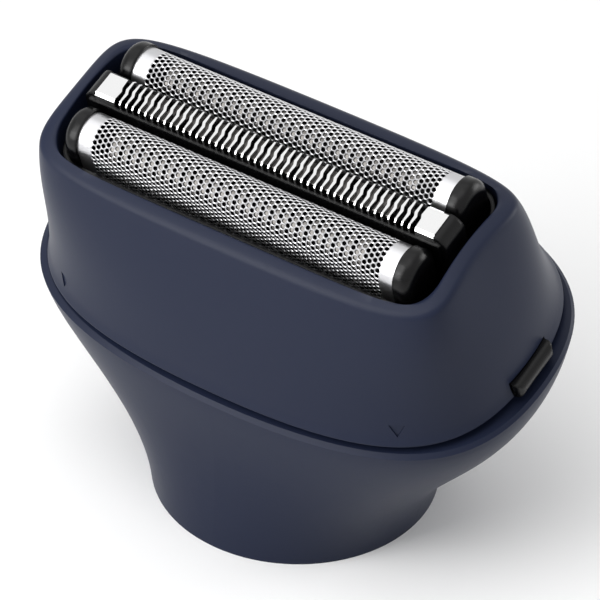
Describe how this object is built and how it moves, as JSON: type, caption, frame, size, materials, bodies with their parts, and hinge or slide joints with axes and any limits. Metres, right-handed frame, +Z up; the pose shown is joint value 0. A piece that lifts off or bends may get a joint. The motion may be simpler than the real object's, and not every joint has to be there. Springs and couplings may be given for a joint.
{
  "type": "shaver foil head",
  "caption": "Tilted foil head for an electric shaver: perforated arched foils and a slit comb float in a rounded cap on a flared neck, with release buttons and a crank drive inside.",
  "frame": {"origin": "centre of the neck's open end, on the neck axis", "axes": "+Z up along the neck axis, +X along the foils, -Y to the front, where the head leans"},
  "size_m": [0.0618, 0.035, 0.0484],
  "materials": {
    "navy_shell": "soft-touch matte",
    "black_moulding": "satin",
    "foil_nickel": "polished",
    "polished_steel": "ground and polished",
    "blade_steel": "hardened and ground",
    "turned_steel": "turned",
    "spring_steel": "drawn wire",
    "white_acetal": "moulded",
    "sintered_bronze": "sintered",
    "seal_rubber": "matte"
  },
  "bodies": {
    "housing": {"lower_body": "navy_shell", "neck_bulkhead": "black_moulding", "bulkhead_seal": "seal_rubber", "bulkhead_screws": "turned_steel", "drive_deck": "black_moulding", "deck_screws": "turned_steel", "shaft_seal": "seal_rubber", "lower_bush": "sintered_bronze", "upper_bush": "sintered_bronze", "front_guide_rod": "turned_steel", "rear_guide_rod": "turned_steel", "cassette_liner": "black_moulding", "foil_frame": "navy_shell", "left_button_spring": "spring_steel", "right_button_spring": "spring_steel"},
    "crank": {"drive_coupling": "white_acetal", "drive_shaft": "turned_steel", "crank_disc": "white_acetal", "crank_pin": "turned_steel"},
    "bridge": {"drive_bridge": "white_acetal", "front_cutter_spring": "spring_steel", "rear_cutter_spring": "spring_steel", "slit_cutter_spring": "spring_steel"},
    "front_foil_unit": {"front_foil": "foil_nickel", "front_foil_carrier": "black_moulding"},
    "rear_foil_unit": {"rear_foil": "foil_nickel", "rear_foil_carrier": "black_moulding"},
    "slit_comb_unit": {"slit_comb": "polished_steel", "slit_comb_carrier": "black_moulding"},
    "front_cutter_unit": {"front_cutter": "blade_steel", "front_cutter_holder": "black_moulding"},
    "rear_cutter_unit": {"rear_cutter": "blade_steel", "rear_cutter_holder": "black_moulding"},
    "slit_cutter_unit": {"slit_cutter": "blade_steel", "slit_cutter_holder": "black_moulding"},
    "left_button": {"left_button": "black_moulding"},
    "right_button": {"right_button": "black_moulding"}
  },
  "joints": [
    {"name": "crank_spin", "type": "hinge", "parent": "housing", "child": "crank", "pos_m": [0, 0, 0.015], "axis": [0, 0, 1], "continuous": true},
    {"name": "bridge_stroke", "type": "slide", "parent": "housing", "child": "bridge", "axis": [1, 0, 0], "range_m": [-0.0012, 0.0012]},
    {"name": "front_foil_float", "type": "slide", "parent": "housing", "child": "front_foil_unit", "axis": [0, -0.284, 0.9588], "range_m": [-0.0015, 0], "stiffness_N_per_m": 120, "springref_m": 0.002},
    {"name": "front_cutter_float", "type": "slide", "parent": "bridge", "child": "front_cutter_unit", "axis": [0, -0.284, 0.9588], "range_m": [-0.0015, 0], "deforming": ["front_cutter_spring"]},
    {"name": "rear_foil_float", "type": "slide", "parent": "housing", "child": "rear_foil_unit", "axis": [0, -0.284, 0.9588], "range_m": [-0.0015, 0], "stiffness_N_per_m": 120, "springref_m": 0.002},
    {"name": "rear_cutter_float", "type": "slide", "parent": "bridge", "child": "rear_cutter_unit", "axis": [0, -0.284, 0.9588], "range_m": [-0.0015, 0], "deforming": ["rear_cutter_spring"]},
    {"name": "slit_comb_float", "type": "slide", "parent": "housing", "child": "slit_comb_unit", "axis": [0, -0.284, 0.9588], "range_m": [-0.0015, 0], "stiffness_N_per_m": 120, "springref_m": 0.002},
    {"name": "slit_cutter_float", "type": "slide", "parent": "bridge", "child": "slit_cutter_unit", "axis": [0, -0.284, 0.9588], "range_m": [-0.0015, 0], "deforming": ["slit_cutter_spring"]},
    {"name": "left_button_press", "type": "slide", "parent": "housing", "child": "left_button", "axis": [1, 0, 0], "range_m": [0, 0.0012], "stiffness_N_per_m": 150, "springref_m": -0.001, "deforming": ["left_button_spring"]},
    {"name": "right_button_press", "type": "slide", "parent": "housing", "child": "right_button", "axis": [-1, 0, 0], "range_m": [0, 0.0012], "stiffness_N_per_m": 150, "springref_m": -0.001, "deforming": ["right_button_spring"]}
  ],
  "couplings": [
    {"joint": "front_cutter_float", "follows": "front_foil_float", "ratio": 1},
    {"joint": "rear_cutter_float", "follows": "rear_foil_float", "ratio": 1},
    {"joint": "slit_cutter_float", "follows": "slit_comb_float", "ratio": 1}
  ]
}
